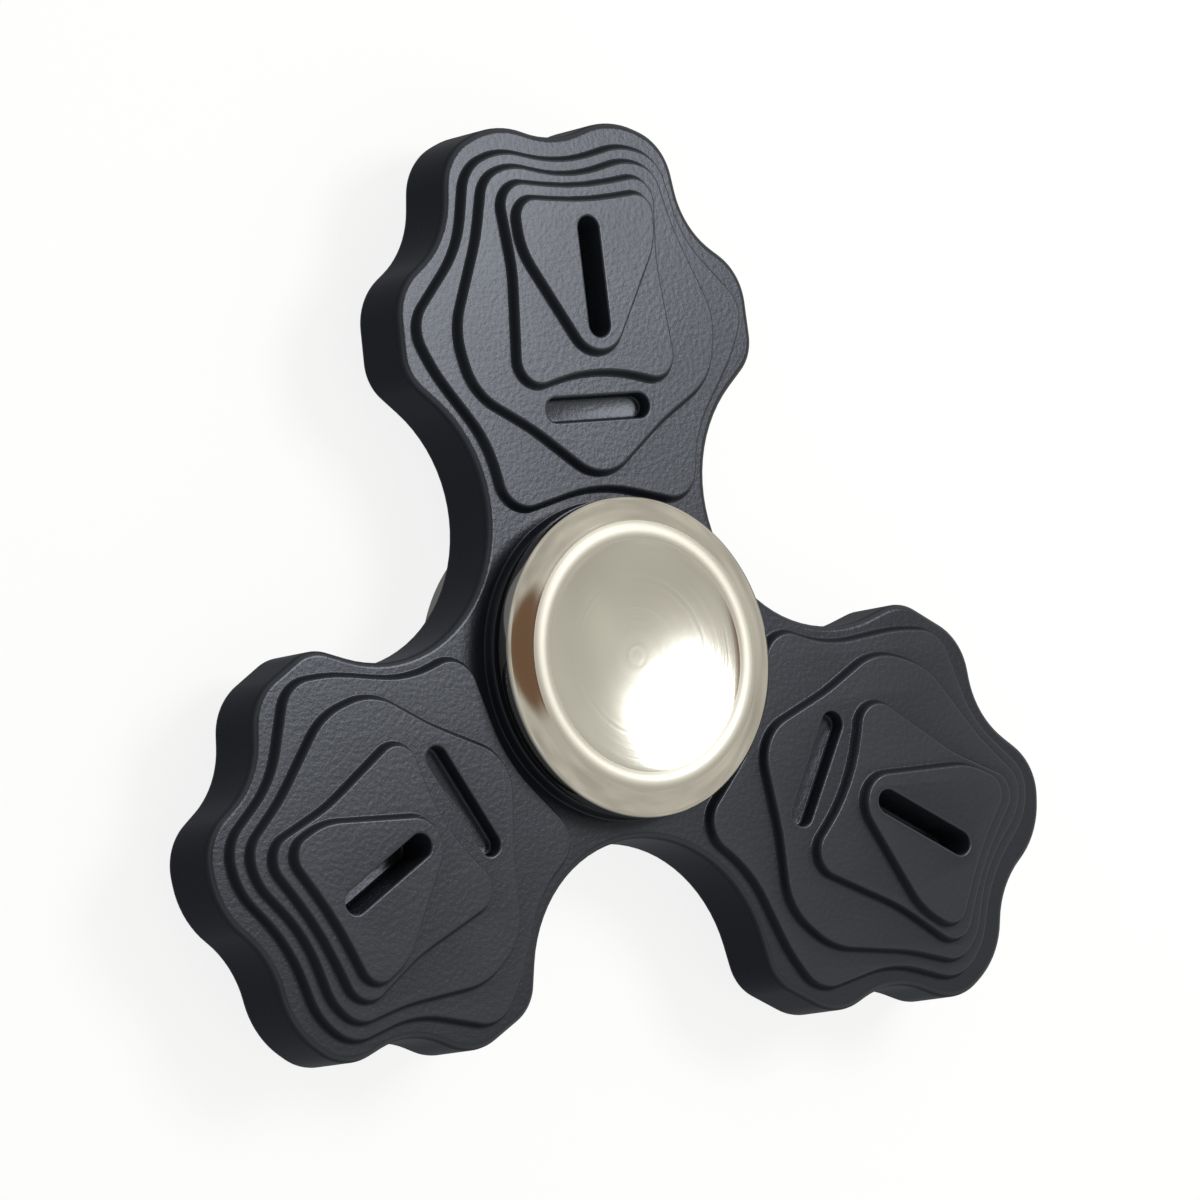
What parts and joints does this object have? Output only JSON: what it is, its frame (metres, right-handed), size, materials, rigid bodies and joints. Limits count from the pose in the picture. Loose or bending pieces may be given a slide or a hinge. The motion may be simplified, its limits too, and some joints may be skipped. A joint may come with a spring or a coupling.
{
  "type": "fidget spinner",
  "caption": "Three-armed terraced metal fidget spinner that turns on a shielded miniature ball bearing between two dished finger caps.",
  "frame": {"origin": "on the spin axis, at the middle of the bearing's width and of the body's thickness", "axes": "+Z along the spin axis out of the front cap, +Y along the centre line of the first arm"},
  "size_m": [0.0626, 0.0556, 0.0108],
  "materials": {
    "black_body": "satin black anodised",
    "cap_metal": "polished nickel",
    "bearing_steel": "ground",
    "ball_steel": "mirror polished",
    "black_rubber": "matt"
  },
  "bodies": {
    "inner_ring": {"bearing_inner_ring": "bearing_steel"},
    "rotor": {"body": "black_body", "bearing_outer_ring": "bearing_steel", "front_shield": "bearing_steel", "back_shield": "bearing_steel", "front_shield_clip": "bearing_steel", "back_shield_clip": "bearing_steel"},
    "cage": {"ball_cage": "bearing_steel"},
    "front_cap": {"front_cap": "cap_metal", "front_o_ring": "black_rubber"},
    "back_cap": {"back_cap": "cap_metal", "back_o_ring": "black_rubber"},
    "ball_01": {"ball_01": "ball_steel"},
    "ball_02": {"ball_02": "ball_steel"},
    "ball_03": {"ball_03": "ball_steel"},
    "ball_04": {"ball_04": "ball_steel"},
    "ball_05": {"ball_05": "ball_steel"},
    "ball_06": {"ball_06": "ball_steel"},
    "ball_07": {"ball_07": "ball_steel"},
    "ball_08": {"ball_08": "ball_steel"},
    "ball_09": {"ball_09": "ball_steel"},
    "ball_10": {"ball_10": "ball_steel"}
  },
  "joints": [
    {"name": "body_spin", "type": "hinge", "parent": "inner_ring", "child": "rotor", "pos_m": [0, 0, 0], "axis": [0, 0, 1], "continuous": true},
    {"name": "cage_orbit", "type": "hinge", "parent": "inner_ring", "child": "cage", "pos_m": [0, 0, 0], "axis": [0, 0, 1], "continuous": true},
    {"name": "front_cap_pull", "type": "slide", "parent": "inner_ring", "child": "front_cap", "axis": [0, 0, 1], "range_m": [0, 0.004]},
    {"name": "back_cap_pull", "type": "slide", "parent": "inner_ring", "child": "back_cap", "axis": [0, 0, -1], "range_m": [0, 0.004]},
    {"name": "ball_01_spin", "type": "hinge", "parent": "cage", "child": "ball_01", "pos_m": [0, 0.00476, 0], "axis": [0, 0, 1], "continuous": true},
    {"name": "ball_02_spin", "type": "hinge", "parent": "cage", "child": "ball_02", "pos_m": [-0.0028, 0.00385, 0], "axis": [0, 0, 1], "continuous": true},
    {"name": "ball_03_spin", "type": "hinge", "parent": "cage", "child": "ball_03", "pos_m": [-0.00453, 0.00147, 0], "axis": [0, 0, 1], "continuous": true},
    {"name": "ball_04_spin", "type": "hinge", "parent": "cage", "child": "ball_04", "pos_m": [-0.00453, -0.00147, 0], "axis": [0, 0, 1], "continuous": true},
    {"name": "ball_05_spin", "type": "hinge", "parent": "cage", "child": "ball_05", "pos_m": [-0.0028, -0.00385, 0], "axis": [0, 0, 1], "continuous": true},
    {"name": "ball_06_spin", "type": "hinge", "parent": "cage", "child": "ball_06", "pos_m": [0, -0.00476, 0], "axis": [0, 0, 1], "continuous": true},
    {"name": "ball_07_spin", "type": "hinge", "parent": "cage", "child": "ball_07", "pos_m": [0.0028, -0.00385, 0], "axis": [0, 0, 1], "continuous": true},
    {"name": "ball_08_spin", "type": "hinge", "parent": "cage", "child": "ball_08", "pos_m": [0.00453, -0.00147, 0], "axis": [0, 0, 1], "continuous": true},
    {"name": "ball_09_spin", "type": "hinge", "parent": "cage", "child": "ball_09", "pos_m": [0.00453, 0.00147, 0], "axis": [0, 0, 1], "continuous": true},
    {"name": "ball_10_spin", "type": "hinge", "parent": "cage", "child": "ball_10", "pos_m": [0.0028, 0.00385, 0], "axis": [0, 0, 1], "continuous": true}
  ],
  "couplings": [
    {"joint": "cage_orbit", "follows": "body_spin", "ratio": 0.58333},
    {"joint": "ball_01_spin", "follows": "body_spin", "ratio": 2.9167},
    {"joint": "ball_02_spin", "follows": "body_spin", "ratio": 2.9167},
    {"joint": "ball_03_spin", "follows": "body_spin", "ratio": 2.9167},
    {"joint": "ball_04_spin", "follows": "body_spin", "ratio": 2.9167},
    {"joint": "ball_05_spin", "follows": "body_spin", "ratio": 2.9167},
    {"joint": "ball_06_spin", "follows": "body_spin", "ratio": 2.9167},
    {"joint": "ball_07_spin", "follows": "body_spin", "ratio": 2.9167},
    {"joint": "ball_08_spin", "follows": "body_spin", "ratio": 2.9167},
    {"joint": "ball_09_spin", "follows": "body_spin", "ratio": 2.9167},
    {"joint": "ball_10_spin", "follows": "body_spin", "ratio": 2.9167}
  ]
}
